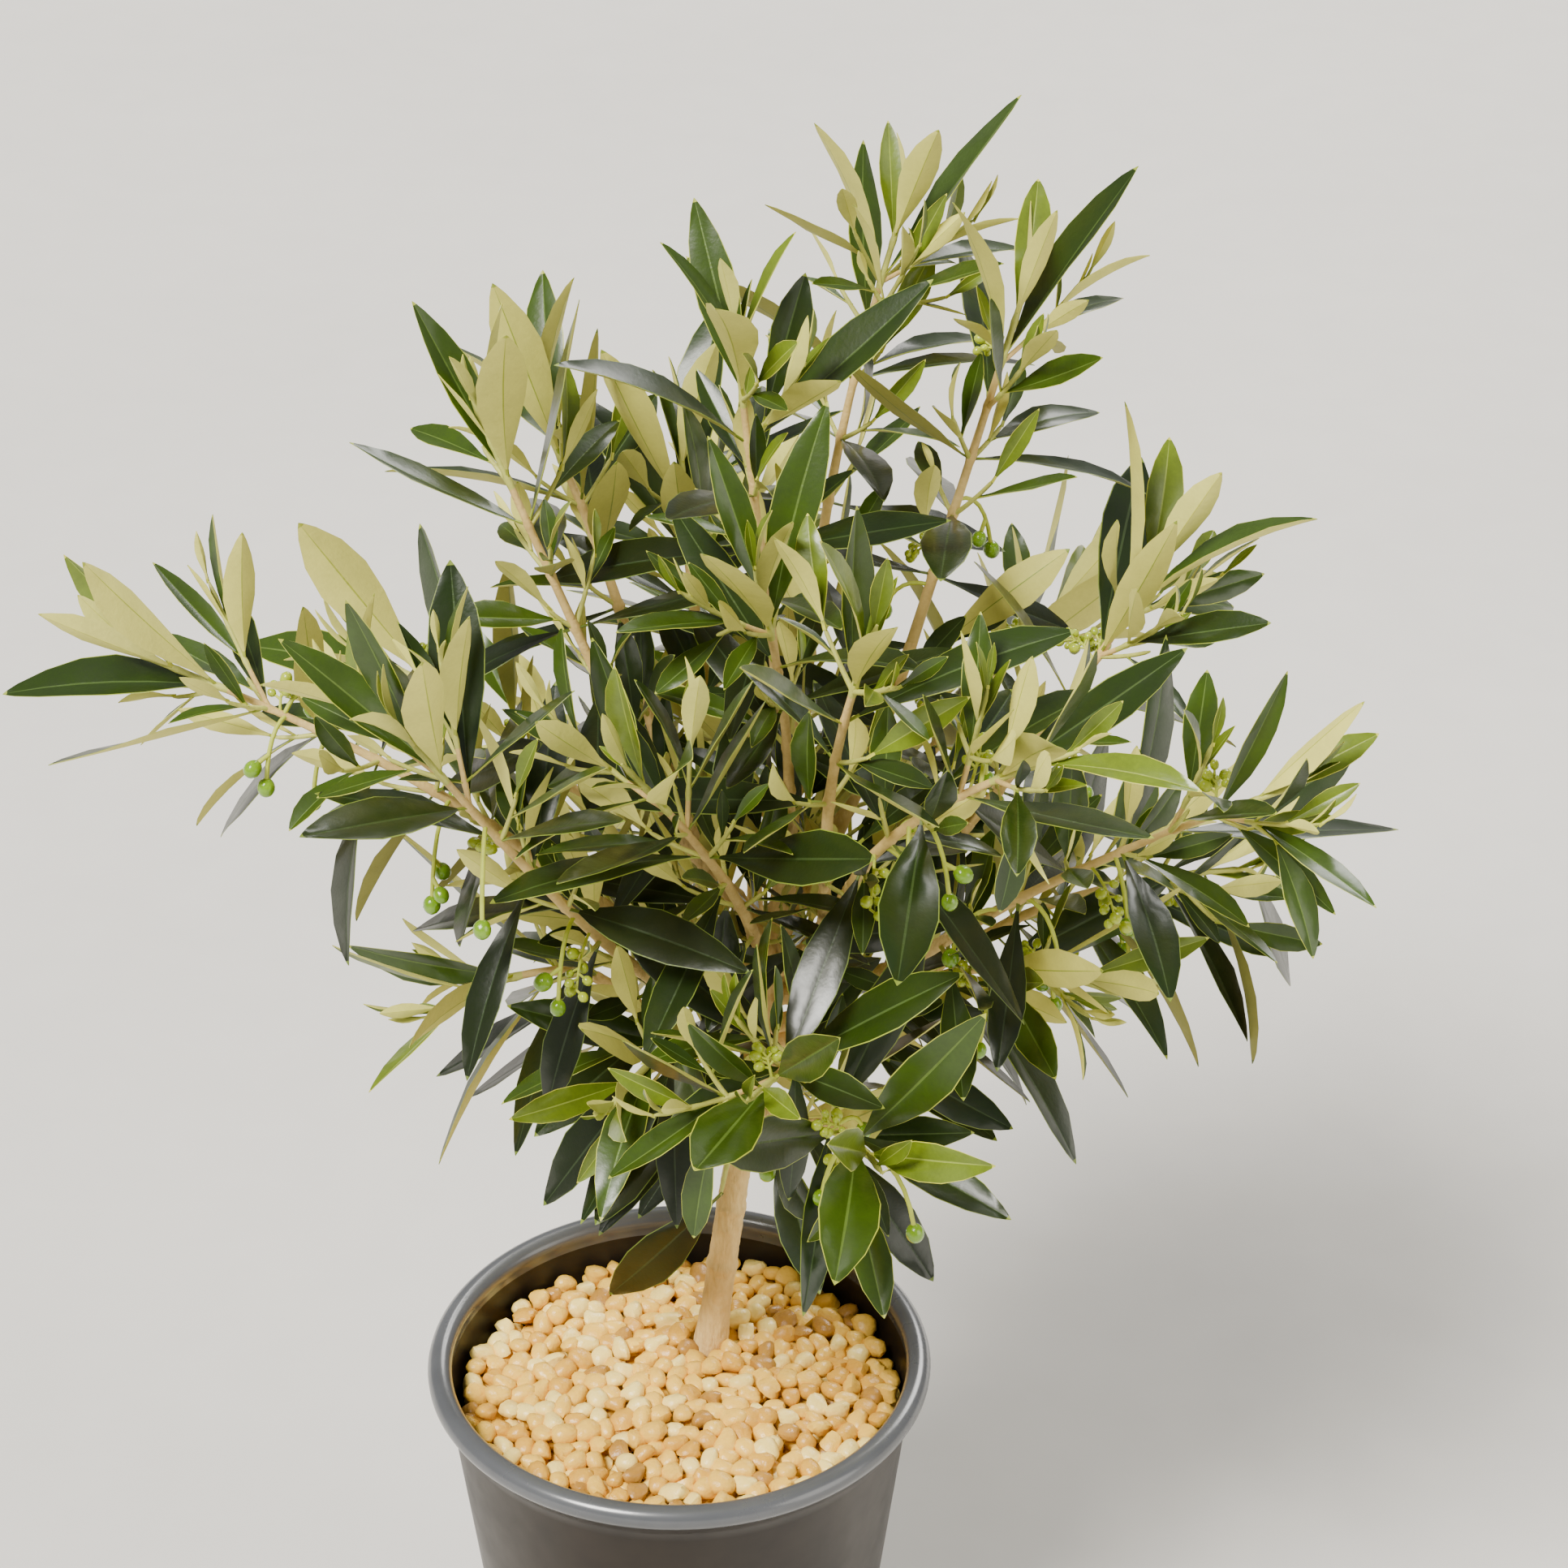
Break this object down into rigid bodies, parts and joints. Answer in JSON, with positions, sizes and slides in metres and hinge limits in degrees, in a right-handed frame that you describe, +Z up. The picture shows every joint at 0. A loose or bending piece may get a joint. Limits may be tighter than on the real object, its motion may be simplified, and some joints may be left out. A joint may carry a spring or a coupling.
{
  "type": "potted olive tree",
  "caption": "Young olive tree with a thin leaning trunk and an airy crown of narrow leaves, in a round grow pot topped with gravel.",
  "frame": {"origin": "centre of the pot's flat underside", "axes": "+Z up along the pot's axis, +X to the right and +Y away from the viewer in the picture's view of the plant"},
  "size_m": [0.3554, 0.3126, 0.4544],
  "materials": {
    "pot_plastic": "smoky grey translucent plastic with a soft sheen",
    "compost": "dark crumbly compost",
    "gravel": "matt rounded pebbles",
    "bark": "matt young bark",
    "foliage": "leathery leaves, glossy above and dull beneath"
  },
  "bodies": {
    "root": {"pot": "pot_plastic", "root_ball": "compost", "gravel": "gravel", "trunk": "bark", "bough_front_low_right": "bark", "bough_left_low": "bark", "bough_rear_low": "bark", "bough_front_left_low": "bark", "bough_front_low": "bark", "bough_right_low": "bark", "bough_right_front_low": "bark", "bough_rear": "bark", "bough_rear_right": "bark", "bough_left_front": "bark", "bough_rear_left": "bark", "bough_right_far": "bark", "bough_left_far": "bark", "bough_right_front": "bark", "bough_right_rear": "bark", "bough_front_left_inner": "bark", "bough_rear_high": "bark", "bough_left_high": "bark", "bough_right_high": "bark", "bough_crown_centre": "bark", "bough_front_centre": "bark", "bough_front_right_inner": "bark", "bough_rear_left_inner": "bark", "bough_rear_left_high": "bark", "leaves_front_low_right": "foliage", "leaves_left_low": "foliage", "leaves_rear_low": "foliage", "leaves_front_left_low": "foliage", "leaves_front_low": "foliage", "leaves_right_low": "foliage", "leaves_right_front_low": "foliage", "leaves_rear": "foliage", "leaves_rear_right": "foliage", "leaves_left_front": "foliage", "leaves_rear_left": "foliage", "leaves_right_far": "foliage", "leaves_left_far": "foliage", "leaves_right_front": "foliage", "leaves_right_rear": "foliage", "leaves_front_left_inner": "foliage", "leaves_rear_high": "foliage", "leaves_left_high": "foliage", "leaves_right_high": "foliage", "leaves_crown_centre": "foliage", "leaves_front_centre": "foliage", "leaves_front_right_inner": "foliage", "leaves_rear_left_inner": "foliage", "leaves_rear_left_high": "foliage"}
  },
  "joints": []
}
